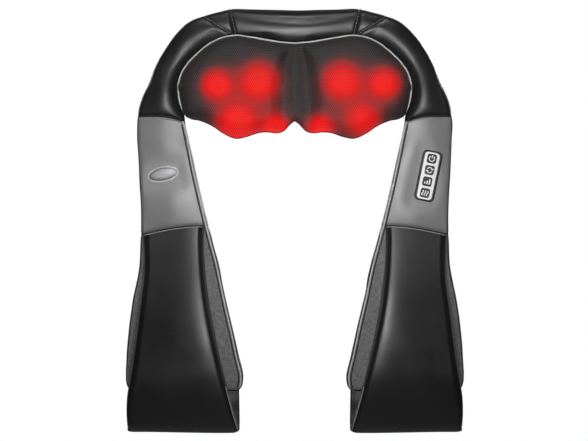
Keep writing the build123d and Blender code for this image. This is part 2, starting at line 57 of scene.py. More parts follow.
# ---------------------------------------------------------------- dimensions, mm
# The padded sleeve from the middle of the yoke down to one hand: inner point, outer point
# (both X, Z), front inner corner radius, front outer corner radius, height of the front's
# crown, how far the crown leans to the inner edge (0 to 1), and how far the line bows up.
STATIONS = [
    ((0, 59.3), (0, 101.6), 6, 15, 3, 0, 0),
    ((33, 63), (35, 102.3), 6, 15, 3, 0, 0),
    ((60, 67.4), (62, 103.2), 6, 15, 3, 0, 0),
    ((78, 69.4), (86, 104.2), 6, 15, 3, 0, 0),
    ((86.5, 68.3), (98, 101.2), 6, 15, 3.5, 0, 0),
    ((98.7, 64.7), (118, 96), 8, 15, 4.5, 0.1, 0),
    ((113.8, 56), (138.6, 87.8), 10, 14, 6, 0.3, 0),
    ((127.8, 44.2), (153.5, 74.6), 12, 13, 7, 0.2, 0),
    ((140.7, 30.2), (169, 53), 13, 12, 8, 0.25, 0),
    ((148.2, 17.3), (181, 31.5), 14, 11, 8.5, 0.5, 0),
    ((151.3, 4), (188.8, 11), 14, 10, 8.5, 0.6, 0.5),
    ((149.5, -14), (198, -8.5), 13, 9, 8, 0.6, 2),
    ((145.6, -31), (202.8, -25), 10, 7, 6, 0.6, 3),
    ((143.2, -44.5), (203.8, -37), 5, 5.2, 2.4, 0.5, 3.6),
    ((137, -71), (203.9, -72), 5, 5.2, 2, 0.5, 1),
    ((129.7, -105), (202.4, -106), 5, 5.2, 1.6, 0.5, 0),
    ((115.4, -168), (199.7, -172), 5, 5.2, 2, 0.5, 1),
    ((112.6, -179.5), (199.9, -190.5), 5, 5.2, 2, 0.4, 2.2),
    ((108, -197), (200, -200), 5, 7, 2, 0, 0),
    ((100.5, -226), (201, -228), 5, 8, 2, 0, 0),
    ((88.3, -282), (211.3, -284), 5, 9, 2.5, 0, 0),
    ((73.7, -348), (218.3, -350), 5, 9, 2.5, 0, 0),
    ((67.7, -384), (219, -384), 5, 9, 2, 0, 0),
    ((69, -389.5), (217.8, -389.5), 5, 9, 1.5, 0, 0),
    ((72.4, -393.8), (214.4, -393.8), 5, 9, 1, 0, 0),
    ((79, -396.8), (208, -396.8), 5, 9, 0.5, 0, 0),
]
SEAM, TOP_SEAM, BOTTOM_SEAM, LAST = 3, 13, 17, len(STATIONS) - 1  # stations with a seam
SLANTED_SEAM, SLANT_GROOVE = ((85.5, 71.0), (121, 93.3)), 1.5  # ends (X, Z), depth
# Y of the sleeve's front and back by Z.
FRONT_DEPTH = [(-400, -26), (-200, -26.5), (-182, -28.6), (-38, -28.8), (0, -28.5), (50, -24), (84, -22),
               (110, -22)]
BACK_DEPTH = [(-400, -3), (-200, -2), (-60, 0), (-38, 2), (-12, 20), (20, 39), (45, 50), (70, 50), (110, 44)]
BACK_RADIUS = 9
SIDE_BULGE, BACK_BULGE = 1.2, 1.5
SEAM_PULL, SEAM_REACH = 1.7, 2.6  # how far a seam draws the leather in, and how far from it
END_LENGTH, END_SHRINK = 11, 9.5  # the rounding of the sleeve's lower end
# The pod's outline, right half, as (X, Z).
POD_TOP_EDGE = [
    (0, 59.2), (22, 61.3), (54.5, 66.8), (78, 69.6), (98.7, 64.7), (127.8, 44.2), (140.7, 30.2),
    (148.2, 17.3), (151.4, 6),
]
POD_LOW_EDGE = [
    (0, -40.3), (4, -43), (15, -54.3), (25, -56.8), (34.7, -55.6), (46.8, -56.3), (64, -61.8),
    (77, -64), (93.2, -57.5), (107.8, -47.7), (124.8, -40.4), (139, -36.8), (145.6, -31),
    (149.4, -17), (151.4, -4),
]
POD_HALF = 151.4
POD_RIM_Y = -16
POD_DOME, POD_EDGE = 24, 20  # how far the mesh swells in front of its rim, and within what
POD_SIDE = [(-72, -20), (-66, 34), (-36, 61), (36, 61), (74, 47), (78, -20)]  # (Z, Y)
POD_TOP = [(0, 61), (70, 61), (118, 50), (154, 24)]  # (X, Y)
BACK_EDGE_R = 6.0
# The hollow between the two carriers: its middle, its top (Z), half its width at the top and
# what it gains downwards, how far its floor, a ridge in it and a dip beside it stand out.
HOLLOW_X, HOLLOW_TOP, HOLLOW_HALF = 1.5, 56, (4, 20)
HOLLOW_FLOOR, HOLLOW_RIDGE, HOLLOW_EDGE = 11, 2.5, 4.5
MESH_WALL = ((4, 0.3), (10, 0.2), (16, 0.0), (19, -0.8))  # how far back, and how far out
GLOWS = [  # each lamp's spot of painted glow on the mesh: X, Z, radius, strength, how far the head presses out
    (-101.8, 4.5, 20, 1.0, 3.4), (-45.8, 8.6, 26, 1.0, 3.4), (-75, -46, 27, 1.05, 2.6),
    (-24.5, -52, 18, 1.0, 2.6), (60.6, 8.6, 26, 1.0, 3.4), (116.5, 6, 21, 1.0, 3.4),
    (32.6, -52, 18, 0.95, 2.6), (88, -42, 24, 0.85, 2.6),
]
# colours of the glow painted on the mesh as emission, from none to the brightest
PAINTED_GLOW_COLOURS = [
    (0.0, (0, 0, 0)), (0.14, (0.008, 0.001, 0.001)), (0.28, (0.075, 0.004, 0.004)),
    (0.5, (0.36, 0.008, 0.008)), (0.8, (0.70, 0.006, 0.006)), (1.0, (0.84, 0.010, 0.008)),
]
HOLE_PITCH, HOLE_R = 2.8, 0.9  # of the mesh
THREAD_PITCH = 1.1  # of the woven pad
INLET_AT, INLET_NORMAL, INLET_HOLE_R = (40, 51.5, -46.5), (0, 30, -27), 8
PIPING_R, PIPING_Y = 1.15, -21.0
STITCH_LENGTH, STITCH_GAP, STITCH_R, STITCH_SIDES = 3.0, 1.1, 0.42, 6
STITCH_RINGS = ((0, 0.35, -0.35), (0.2, 0.9, 0.1), (0.5, 1.0, 0.22), (0.8, 0.9, 0.1), (1, 0.35, -0.35))
# The hand loop: its line from the side as (Y, Z), and its two edges as (Z, X).
FLAP_FRONT = [
    (-32.4, -184.5), (-36, -206), (-43, -250), (-50, -300), (-55.5, -345), (-57.5, -378),
    (-56, -405), (-51.5, -427), (-47, -438), (-41.5, -444.2),
]
FLAP_REAR = [(-41.5, -444.2), (-31, -442.5), (-23, -436), (-20.4, -425), (-20, -404), (-17, -391)]
FLAP_OUTER = [
    (-184, 197.3), (-215, 195.6), (-243, 195.9), (-282, 200.3), (-328, 205.6), (-377, 212.6),
    (-397, 216), (-421, 217.3), (-446, 216.4),
]
FLAP_INNER = [
    (-184, 118), (-205, 118.4), (-226, 117.2), (-267, 112.3), (-316, 103.6), (-365, 92.8),
    (-394, 85.6), (-421, 78.5), (-446, 71),
]
FLAP_HALF_THICK = 2.1
FLAP_ACROSS = 40  # columns of points
FLAP_BELLY, FLAP_CROWN = 10.0, 1.5  # how far it stands out: more at half height, and everywhere
FLAP_SLANT, FLAP_BOW, FLAP_ROLL = 11, 2.2, 3.2  # its top edge's slant and bow, its edges' roll back
BINDING_WIDTH = 4.4
CONTROLLER_TILT, BADGE_TILT = 11.5, 11.0
CONTROLLER_AT, BADGE_AT = (173.5, -35.3, -114.3), (-171.2, -31.5, -112.3)
BUTTON_PITCH = 15.1
ARC_R, ICON_SCALE = 2.9, 1.18
BADGE_RINGS = [  # half width, half height, how far it stands out
    (18.6, 8.4, -0.2), (17.6, 7.6, 0.2), (15.8, 6.6, 0.55), (13, 5.3, 0.85), (9, 3.6, 1.1), (5, 2, 1.2),
    (2, 0.8, 1.25),
]
CLOTH_FRAMES = 14

# ---------------------------------------------------------------- the bend and the room, metres
FLOOR_Z = -0.75  # below the view
CAMERA_AT = (-0.001, -3.03, -0.1723)
VIEW_WIDTH = 0.7644  # at 3 m
WORLD_LIGHT = 0.035
LIGHTS = [  # name, place, target, size, power in watts as if its spread were 180, spread in degrees
    ("key", (0, -1.1, 2.1), (0, 0, 0.04), (2.0, 0.5), 84, 18),
    ("centre_strip", (0, -1.0, -0.02), (0, 0, -0.12), (0.26, 0.5), 12, 50),
    ("high_front", (0, -3.0, 1.2), (0, 0, -0.07), (1.4, 0.5), 38, 15),
    ("right_rim", (1.3, 0.9, 0.5), (0.1, 0, -0.1), (0.5, 1.4), 9, 60),
    ("right_back", (0.9, 2.4, 0.6), (0, 0, -0.17), (0.8, 1.2), 48, 32),
    ("left_rim", (-1.3, 0.9, 0.5), (-0.1, 0, -0.1), (0.5, 1.4), 9, 60),
    ("left_back", (-0.9, 2.4, 0.6), (0, 0, -0.17), (0.8, 1.2), 48, 32),
    ("top", (0, 1.6, 1.9), (0, 1.7, -0.75), (2.4, 1.2), 50, 80),
]


# ---------------------------------------------------------------- curves
def spline(knots, values):
    """A smooth curve through the values, with each tangent taken from the neighbours."""
    t, v = np.asarray(knots, float), np.asarray(values, float)
    if v.ndim == 1:
        v = v[:, None]
    h = np.diff(t)[:, None]
    slope = np.diff(v, axis=0) / h
    tangent = np.empty_like(v)
    tangent[0], tangent[-1] = slope[0], slope[-1]
    tangent[1:-1] = (slope[:-1] * h[1:] + slope[1:] * h[:-1]) / (h[1:] + h[:-1])

    def at(s):
        s = np.clip(np.atleast_1d(np.asarray(s, float)), t[0], t[-1])
        i = np.clip(np.searchsorted(t, s, side="right") - 1, 0, len(t) - 2)
        w = (t[i + 1] - t[i])[:, None]
        x = (s - t[i])[:, None] / w
        return (
            (2 * x**3 - 3 * x**2 + 1) * v[i] + (x**3 - 2 * x**2 + x) * w * tangent[i]
            + (3 * x**2 - 2 * x**3) * v[i + 1] + (x**3 - x**2) * w * tangent[i + 1]
        )

    return at


def table(pairs):
    """A smooth function of one number from (number, value) pairs."""
    curve = spline([a for a, _ in pairs], [b for _, b in pairs])
    return lambda x: curve(np.ravel(x))[:, 0].reshape(np.shape(x))


def distances(points):
    """How far along a polyline each of its points lies."""
    return np.concatenate([[0], np.cumsum(np.linalg.norm(np.diff(points, axis=0), axis=1))])


def evenly(points, step):
    """The same polyline with points a step apart."""
    points = np.asarray(points, float)
    knots = distances(points)
    s = np.linspace(0, knots[-1], max(2, int(round(knots[-1] / step)) + 1))
    return np.stack([np.interp(s, knots, points[:, i]) for i in range(3)], 1)


def unit(vectors):
    return vectors / np.linalg.norm(vectors, axis=-1, keepdims=True)


front_depth, back_depth = table(FRONT_DEPTH), table(BACK_DEPTH)
flap_outer, flap_inner = table(FLAP_OUTER[::-1]), table(FLAP_INNER[::-1])
pod_top, pod_low = table(POD_TOP_EDGE), table(POD_LOW_EDGE)


# ---------------------------------------------------------------- mesh helpers
def mesh_object(name, points, faces, material, smooth=True):
    """An object from points in millimetres."""
    mesh = bpy.data.meshes.new(name)
    mesh.from_pydata([tuple(p) for p in np.asarray(points, float) * MM], [], faces)
    mesh.validate()
    mesh.update()
    if smooth:
        mesh.shade_smooth()
    mesh.materials.append(material)
    obj = bpy.data.objects.new(name, mesh)
    bpy.context.scene.collection.objects.link(obj)
    return obj


def grid_faces(rows, columns, closed=False, offset=0):
    """Quads of a grid of rows x columns points; closed joins the last column to the first."""
    faces = []
    for i in range(rows - 1):
        for j in range(columns if closed else columns - 1):
            a, b = offset + i * columns + j, offset + i * columns + (j + 1) % columns
            faces.append((a, b, b + columns, a + columns))
    return faces


def grid_object(name, grid, material, closed=False, caps=()):
    """A sheet, or a tube if closed, over a grid of points; caps are the rows to fill."""
    rows, columns = grid.shape[:2]
    faces = grid_faces(rows, columns, closed)
    for row in caps:
        ring = [row * columns + j for j in range(columns)]
        faces.append(ring if row else ring[::-1])
    return mesh_object(name, grid.reshape(-1, 3), faces, material)


def face_outwards(obj):
    """Drops points that no face uses, and turns the faces of a closed form outwards."""
    work = bmesh.new()
    work.from_mesh(obj.data)
    bmesh.ops.delete(work, geom=[v for v in work.verts if not v.link_faces], context="VERTS")
    bmesh.ops.recalc_face_normals(work, faces=work.faces)
    work.to_mesh(obj.data)
    work.free()
    return obj


def add_tube(points, faces, rings):
    """Adds a closed tube through rings of points, filled at both ends."""
    base, sides = len(points), len(rings[0])
    last = base + (len(rings) - 1) * sides
    points.extend(p for ring in rings for p in ring)
    faces.extend(grid_faces(len(rings), sides, True, base))
    faces.extend([[base + k for k in range(sides)][::-1], [last + k for k in range(sides)]])


def tube(name, path, radius, material, sides=10):
    """A round cord along a path in millimetres."""
    path = np.asarray(path, float)
    ahead = np.roll(path, -1, 0) - np.roll(path, 1, 0)
    ahead[0], ahead[-1] = path[1] - path[0], path[-1] - path[-2]
    turns = np.linspace(0, 2 * math.pi, sides, endpoint=False)[:, None]
    rings, points, faces = [], [], []
    for p, d in zip(path, unit(ahead)):
        u = FORWARD - d * (FORWARD @ d)
        if np.linalg.norm(u) < 0.05:  # the path runs straight to the front here
            u = np.array([0.0, 0, 1.0]) - d * d[2]
        u = unit(u)
        rings.append(p + radius * (np.cos(turns) * u + np.sin(turns) * np.cross(d, u)))
    add_tube(points, faces, rings)
    return face_outwards(mesh_object(name, points, faces, material))


def stitches(name, path, material):
    """A row of thread stitches along a path, each a short rounded bead sunk at its ends."""
    points, faces = [], []
    path = evenly(path, STITCH_LENGTH + STITCH_GAP)
    turns = 2 * math.pi * np.arange(STITCH_SIDES)[:, None] / STITCH_SIDES
    for a, b in zip(path[:-1], path[1:]):
        d = unit(b - a)
        v = unit(np.cross(d, FORWARD))
        u = np.cross(v, d)
        add_tube(points, faces, [
            a + d * (STITCH_GAP / 2 + share * STITCH_LENGTH) + u * lift * STITCH_R
            + STITCH_R * size * (np.cos(turns) * u + np.sin(turns) * v)
            for share, size, lift in STITCH_RINGS
        ])
    return face_outwards(mesh_object(name, points, faces, material))


def points_of(obj, shape):
    """A piece's points in millimetres."""
    return np.reshape([v.co for v in obj.data.vertices], shape) / MM


def rumple(points, size, depth, seed):
    """Small soft waves, as leather over foam has: how far each point moves, in millimetres."""
    shift = Vector((seed * 17.3, seed * 5.1, seed * 9.7))
    flat = np.reshape(points, (-1, 3))
    moves = [depth * noise.noise(Vector(p) / size + shift) for p in flat]
    return np.reshape(moves, points.shape[:-1])


# ---------------------------------------------------------------- materials
class Value:
    """A number in a shader; arithmetic with it adds math nodes."""

    def __init__(self, graph, socket):
        self.graph, self.socket = graph, socket

    def __add__(self, other):
        return self.graph.maths("ADD", self, other)

    def __sub__(self, other):
        return self.graph.maths("SUBTRACT", self, other)

    def __mul__(self, other):
        return self.graph.maths("MULTIPLY", self, other)

    def __truediv__(self, other):
        return self.graph.maths("DIVIDE", self, other)


class Graph:
    """A new material, with short ways to add nodes to it."""

    def __init__(self, name):
        self.material = bpy.data.materials.new(name)
        self.material.use_nodes = True
        self.nodes, self.links = self.material.node_tree.nodes, self.material.node_tree.links
        self.place = self.add("ShaderNodeTexCoord").outputs["Object"]

    def fill(self, node, inputs):
        """Sets a node's inputs, each to a number, a colour or another node's output."""
        for key, value in inputs.items():
            value = value.socket if isinstance(value, Value) else value
            if hasattr(value, "links"):
                self.links.new(value, node.inputs[key])
            else:
                node.inputs[key].default_value = value

    def add(self, kind, inputs=None, **settings):
        node = self.nodes.new(kind)
        for key, value in settings.items():
            setattr(node, key, value)
        self.fill(node, inputs or {})
        return node

    def surface(self, inputs):
        """Sets inputs of the shader, and gives back the material."""
        self.fill(self.nodes["Principled BSDF"], inputs)
        return self.material

    def maths(self, operation, a, b=0.0):
        return Value(self, self.add("ShaderNodeMath", {0: a, 1: b}, operation=operation).outputs[0])

    def axes(self):
        """X, Y and Z in the object's own frame, in metres."""
        split = self.add("ShaderNodeSeparateXYZ", {"Vector": self.place})
        return [Value(self, split.outputs[axis]) for axis in "XYZ"]

    def noise(self, scale, detail, place=None):
        inputs = {"Vector": place or self.place, "Scale": scale, "Detail": detail}
        return Value(self, self.add("ShaderNodeTexNoise", inputs).outputs["Fac"])

    def spread(self, source, low, high, start=0.0, end=1.0, way="SMOOTHSTEP"):
        """The source's low..high spread to start..end."""
        inputs = {"Value": source, "From Min": low, "From Max": high, "To Min": start, "To Max": end}
        return Value(self, self.add("ShaderNodeMapRange", inputs, interpolation_type=way).outputs["Result"])

    def mix(self, share, first, second):
        node = self.add("ShaderNodeMix", {"Factor": share}, data_type="RGBA", clamp_factor=True)
        self.fill(node, {6: first, 7: second})  # the two colours
        return node.outputs[2]

    def ramp(self, source, stops):
        """A colour ramp; stops are (place, grey) or (place, (r, g, b))."""
        node = self.add("ShaderNodeValToRGB", {"Fac": source})
        elements = node.color_ramp.elements
        while len(elements) < len(stops):
            elements.new(0.5)
        for element, (place, colour) in zip(elements, stops):
            element.position = place
            element.color = (*(colour if hasattr(colour, "__len__") else (colour,) * 3), 1)
        return node.outputs["Color"]

    def bump(self, height, strength, depth):
        """Relief of the surface, with depth in metres."""
        node = self.add("ShaderNodeBump", {"Height": height, "Strength": strength, "Distance": depth})
        self.surface({"Normal": node.outputs["Normal"]})


def scaled(colour, factor):
    return [min(1, c * factor) for c in colour]


def leather(name, colour, roughness, grain=620.0, depth=0.00022, wear=0.12):
    """Pebbled leather: two sizes of grain, slow patches of shade and polish, paler where worn."""
    graph = Graph(name)
    warp = graph.add("ShaderNodeTexNoise", {"Vector": graph.place, "Scale": 300.0, "Detail": 2.0})
    bent = graph.add("ShaderNodeVectorMath", {0: warp.outputs["Color"], 1: (0.0012,) * 3, 2: graph.place},
                     operation="MULTIPLY_ADD")
    cells = graph.add("ShaderNodeTexVoronoi", {"Vector": bent.outputs[0], "Scale": grain},
                      feature="DISTANCE_TO_EDGE")
    pebble = Value(graph, cells.outputs["Distance"])
    pores, creases, patches = graph.noise(grain * 2.2, 3.0), graph.noise(55.0, 4.0), graph.noise(14.0, 3.0)
    graph.bump(graph.spread(pebble, 0.0, 0.22) + pores * 0.35 + creases * 0.9, 0.12, depth)
    tones = [(0.2, scaled(colour, 0.78)), (0.62, colour), (0.95, scaled(colour, 1.25 + wear))]
    return graph.surface({
        "Base Color": graph.ramp(patches * 0.7 + pebble * 0.9, tones),
        "Roughness": graph.spread(patches, 0.3, 0.7, roughness - 0.06, roughness + 0.07, "LINEAR"),
    })


def perforations(graph, pitch, radius):
    """Round holes in staggered rows over X and Z: 1 inside a hole, 0 between them."""
    x, _, z = graph.axes()
    row = pitch * math.sqrt(3)
    far = []
    for shift in (50.0, 50.5):  # both positive over the whole object
        dx = graph.maths("FRACT", x / pitch + shift) - 0.5
        dz = (graph.maths("FRACT", z / row + shift) - 0.5) * math.sqrt(3)
        far.append(graph.maths("SQRT", dx * dx + dz * dz))
    share = radius / pitch
    return graph.spread(graph.maths("MINIMUM", *far), share * 0.75, share * 1.2, 1.0, 0.0)


def painted_lamp_glow(graph):
    """Painted glow: how brightly the lamps would shine through the mesh, a bright core and a halo for each.
    """
    x, _, z = graph.axes()
    total = None
    for at_x, at_z, radius, strength, _ in GLOWS:
        dx, dz = ((axis - at * MM) * (1 / (radius * MM)) for axis, at in ((x, at_x), (z, at_z)))
        square = dx * dx + dz * dz
        core = graph.maths("POWER", 2.718, graph.maths("POWER", square, 1.4) * -1.35)
        halo = graph.maths("POWER", 2.718, square * -0.5)
        spot = core * (0.58 * strength) + halo * (0.45 * strength)
        total = total + spot if total else spot
    return total


def mesh_fabric(name, base, glow=True):
    """Knitted mesh with staggered round holes, with a red glow painted on as emission where the lamps behind
    it are.
    """
    graph = Graph(name)
    holes = perforations(graph, HOLE_PITCH * MM, HOLE_R * MM)
    fuzz, patches = graph.noise(1500.0, 2.0), graph.noise(22.0, 2.0)
    graph.bump(fuzz * 0.35 - holes, 0.6, 0.0005)
    cloth = graph.ramp(patches * 0.5 + fuzz * 0.5, [(0.3, scaled(base, 0.85)), (0.7, scaled(base, 1.2))])
    colour = graph.mix(holes * 0.85, cloth, (0.005, 0.005, 0.005, 1))
    if glow:
        # painted glow: emission, and a base colour darkened to deep red, where the lamps would shine through
        light = painted_lamp_glow(graph)
        colour = graph.mix(graph.spread(light, 0.1, 0.8), colour, (0.03, 0.002, 0.002, 1))
        graph.surface({"Emission Color": graph.ramp(light, PAINTED_GLOW_COLOURS),
                       "Emission Strength": holes * -0.4 + 1.08})
    return graph.surface({"Base Color": colour, "Roughness": 0.62, "Sheen Weight": 0.05,
                          "Sheen Roughness": 0.45, "Specular IOR Level": 0.2})


def woven(name, base):
    """A fine air mesh: short crossing threads with small shadows between them."""
    graph = Graph(name)
    x, _, z = graph.axes()
    turn = 2 * math.pi / (THREAD_PITCH * MM)
    cross = graph.maths("SINE", (x + z) * turn) * graph.maths("SINE", (x - z) * turn)
    fuzz, patches = graph.noise(900.0, 4.0), graph.noise(260.0, 4.0)
    graph.bump(cross * 0.5 + fuzz, 0.8, 0.0004)
    tones = [(0.2, scaled(base, 0.45)), (0.55, base), (0.85, scaled(base, 1.6))]
    return graph.surface({"Base Color": graph.ramp(cross * 0.16 + fuzz * 0.3 + patches * 0.8, tones),
                          "Roughness": 0.8, "Sheen Weight": 0.3, "Sheen Roughness": 0.5})


def plain(name, colour, roughness, metallic=0.0, speckle=0.12, scale=900.0, depth=0.00006,
          brushed=(1, 1, 1), coat=0.0):
    """Moulded plastic or metal: fine texture, slight colour and polish variation."""
    graph = Graph(name)
    place = graph.add("ShaderNodeMapping", {"Vector": graph.place, "Scale": brushed}).outputs["Vector"]
    fine, broad = graph.noise(scale, 3.0, place), graph.noise(60.0, 3.0, place)
    graph.bump(fine, 0.4, depth)
    tones = [(0.3, scaled(colour, 1 - speckle)), (0.7, scaled(colour, 1 + speckle))]
    return graph.surface({
        "Base Color": graph.ramp(fine * 0.5 + broad * 0.5, tones),
        "Roughness": graph.spread(broad, 0.3, 0.7, roughness * 0.85, roughness * 1.15, "LINEAR"),
        "Metallic": metallic,
        "Coat Weight": coat,
    })


def cord_material(name, grey, twist=0.7, roughness=0.38):
    """Smooth covered cord or thread with a faint diagonal twist, its pitch in millimetres."""
    graph = Graph(name)
    x, y, z = graph.axes()
    wave = graph.maths("SINE", (x + z + y) * (2 * math.pi / (twist * MM)))
    fuzz = graph.noise(700.0, 3.0)
    graph.bump(wave * 0.3 + fuzz, 0.35, 0.0002)
    return graph.surface({"Base Color": graph.ramp(fuzz, [(0.3, grey * 0.8), (0.7, grey)]),
                          "Roughness": roughness})


BLACK = leather("black_leather_grain", (0.0150, 0.0140, 0.0144), 0.36)
BLACK_FLAP = leather("flap_leather_grain", (0.0120, 0.0108, 0.0114), 0.33)
# leather of the edge binding, far darker than the flap's: partly the real dark binding, partly painted shade
# on the edges that roll back from the light
BINDING_WITH_EDGE_SHADE = leather("binding_leather", (0.004, 0.004, 0.004), 0.5, grain=900.0, depth=0.00012)
GREY = leather("grey_leather_grain", (0.215, 0.215, 0.215), 0.36, grain=1100.0, depth=0.00010, wear=0.02)
MESH = mesh_fabric("mesh_painted_glow", (0.045, 0.044, 0.044))
BACK_MESH = mesh_fabric("mesh_back", (0.03, 0.03, 0.031), glow=False)
PAD = woven("pad_air_mesh", (0.19, 0.19, 0.19))
PIPING = cord_material("light_piping", 0.62, twist=1.6)
DARK_CORD = cord_material("dark_cord", 0.004, twist=1.6, roughness=0.7)
THREAD = cord_material("pale_thread", 0.17)
SEAM_THREAD = cord_material("seam_thread", 0.42)
SILVER = plain("satin_chrome", (0.26, 0.26, 0.27), 0.52, 1.0, 0.06, 500.0, 0.00003, brushed=(1, 1, 9))
ICON = plain("icon_white", (0.85, 0.86, 0.88), 0.45, speckle=0.03)
NODE_MATERIALS = {  # for the CAD nodes that stay visible, by the record's slot
    "frame_plastic": plain("frame_plastic_moulded", (0.05, 0.05, 0.05), 0.55),
    "head_plastic": plain("head_plastic_red", (0.6, 0.1, 0.08), 0.35, coat=0.2),
    "wheel_plastic": plain("acetal", (0.8, 0.78, 0.7), 0.4),
    "steel": plain("turned_steel", (0.55, 0.55, 0.55), 0.3, 1.0, 0.08, 300.0, 0.00003, brushed=(8, 1, 8)),
    "bronze": plain("sintered_bronze", (0.5, 0.33, 0.15), 0.45, 1.0, 0.15, 1500.0),
    "magnet": plain("ferrite", (0.1, 0.1, 0.1), 0.6, 0.3),
    "circuit_board": plain("solder_mask", (0.05, 0.2, 0.08), 0.35, speckle=0.2, scale=250.0, coat=0.3),
    "badge_silver": SILVER,
    "bezel_plastic": plain("bezel_satin", (0.010, 0.010, 0.011), 0.5, 0, 0.1, 1400.0, 0.00004),
    "plate_silver": plain("plate_paint", (0.54, 0.54, 0.55), 0.34, 0.25, 0.05, 1200.0, 0.00003),
    "button_plastic": plain("button_gloss", (0.006, 0.006, 0.007), 0.5, 0, 0.1, 1600.0, 0.00003),
    "foam": woven("open_foam", (0.6, 0.58, 0.5)),
}
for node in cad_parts.values():
    for material_slot in node.material_slots:
        packed = material_slot.material.name.split(".")[0] if material_slot.material else ""
        if packed in NODE_MATERIALS:
            material_slot.material = NODE_MATERIALS[packed]


# ---------------------------------------------------------------- the padded sleeve
# A ring of the sleeve, from the front's inner edge outwards and round: part, points in it.
SECTION = (("front", 22), ("outer", 7), ("side", 5), ("outer_back", 5), ("back", 12), ("inner_back", 4),
           ("wall", 5), ("inner", 7))
COUNTS = [count for _, count in SECTION]
RING = sum(COUNTS)
STARTS = {part: sum(COUNTS[:k]) for k, (part, _) in enumerate(SECTION)}
FRONT, BACK, SIDE, WALL = range(4)  # what a point's depth is measured from
GUSSET = STARTS["outer"] + 6  # the column of the seam between panel and outer side
KNOTS = distances([((i[0] + o[0]) / 2, (i[1] + o[1]) / 2) for i, o, *_ in STATIONS])
sleeve_line = spline(
    np.concatenate([-KNOTS[:0:-1], KNOTS]),
    [(-i[0], i[1], -o[0], o[1], *rest) for i, o, *rest in STATIONS[:0:-1]]
    + [(i[0], i[1], o[0], o[1], *rest) for i, o, *rest in STATIONS],
)


def section(w, ri, ro, rb, crown, lean):
    """One ring of a sleeve w wide, with inner, outer and back corners of these radii.

    Gives each point's place across, what its depth is measured from, and its offset: mm
    behind the front or the back, or the share of the way along the outer side or inner wall.
    """
    # each front corner stops where its slope meets the crown's
    rise = 4 * crown / (w - ri - ro)
    turn_in, turn_out = (math.pi / 2 - math.atan(rise * k) for k in (1 + lean, 1 - lean))
    start, end = ri * (1 - math.cos(turn_in)), w - ro * (1 - math.cos(turn_out))
    drop_in, drop_out = ri * (1 - math.sin(turn_in)), ro * (1 - math.sin(turn_out))
    front, outer, side, outer_back, back, inner_back, wall, inner = (np.arange(n) / n for n in COUNTS)
    bulge = crown * 4 * front * (1 - front) * (1 + lean * (1 - 2 * front))
    outer = math.pi / 2 - turn_out * (1 - outer)
    outer_back, inner_back, inner = outer_back * math.pi / 2, inner_back * math.pi / 2, inner * turn_in
    across, measured_from, offset = zip(
        (start + (end - start) * front, FRONT, drop_in + (drop_out - drop_in) * front - bulge),
        (w - ro + ro * np.sin(outer), FRONT, ro - ro * np.cos(outer)),
        (w + SIDE_BULGE * np.sin(math.pi * side), SIDE, side),
        (w - rb + rb * np.cos(outer_back), BACK, -rb + rb * np.sin(outer_back)),
        (w - rb - (w - 2 * rb) * back, BACK, BACK_BULGE * np.sin(math.pi * back)),
        (rb - rb * np.sin(inner_back), BACK, -rb + rb * np.cos(inner_back)),
        (0 * wall, WALL, wall),
        (ri - ri * np.cos(inner), FRONT, ri - ri * np.sin(inner)),
    )
    return np.concatenate(across), np.repeat(measured_from, COUNTS), np.concatenate(offset)


def sleeve(stops, step, seams, closing=False):
    """Rings of the sleeve between two stops, pulled in at the seams, and each ring's place."""
    s = np.linspace(stops[0], stops[1], max(3, int(round((stops[1] - stops[0]) / step)) + 1))
    s = np.concatenate([s, KNOTS[LAST - 4:] * math.copysign(1, stops[0] + stops[1])])
    for seam in seams:
        s = np.concatenate([s, seam + np.array([-4.5, -3, -1.8, -0.9, 0, 0.9, 1.8, 3, 4.5])])
    s = np.unique(np.round(s[(s >= stops[0]) & (s <= stops[1])], 3))
    line = sleeve_line(s)
    inner, outer = line[:, :2], line[:, 2:4]
    width = np.linalg.norm(outer - inner, axis=1)
    across = (outer - inner) / width[:, None]
    rings = np.zeros((len(s), RING, 3))
    pull = np.zeros(len(s))
    for seam in seams:
        pull = np.maximum(pull, SEAM_PULL * np.exp(-(((s - seam) / SEAM_REACH) ** 2)))
    shrink = np.zeros(len(s))
    if closing:  # the lower end is rounded off
        from_end = np.clip(np.abs(s) - (KNOTS[-1] - END_LENGTH), 0, None) / END_LENGTH
        shrink = END_SHRINK * (1 - np.sqrt(np.clip(1 - from_end**2, 0, 1)))
    for i in range(len(s)):
        ri, ro, crown, lean, bow = line[i, 4:9]
        w = width[i]
        mid_z = (inner[i, 1] + outer[i, 1]) / 2
        thick = float(back_depth(mid_z) - front_depth(mid_z))
        ri, ro, rb = (min(r, thick / 2 - 1) for r in (ri, ro, BACK_RADIUS))
        a, measured_from, offset = section(w, ri, ro, rb, crown, lean)
        z = inner[i, 1] + a * across[i, 1]
        front, back = front_depth(z) + shrink[i], back_depth(z) - shrink[i]
        y = np.choose(measured_from, (
            front + offset,
            back + offset,
            (front + ro) + (back - rb - front - ro) * offset,
            (back - rb) + (front + ri - back + rb) * offset,
        ))
        # a seam draws the leather towards the middle, most where it stands out most
        centre = (front + back) / 2
        a += 0.2 * pull[i] * np.sign(w / 2 - a) * np.minimum(1, np.abs(a - w / 2) / (w / 2)) ** 3
        y += pull[i] * np.sign(centre - y) * np.minimum(1, np.abs(y - centre) / (thick / 2)) ** 2
        z = inner[i, 1] + a * across[i, 1] + bow * np.sin(math.pi * np.clip(a / w, 0, 1) ** 0.8)
        rings[i] = np.stack([inner[i, 0] + a * across[i, 0], y, z], 1)
    return rings, s


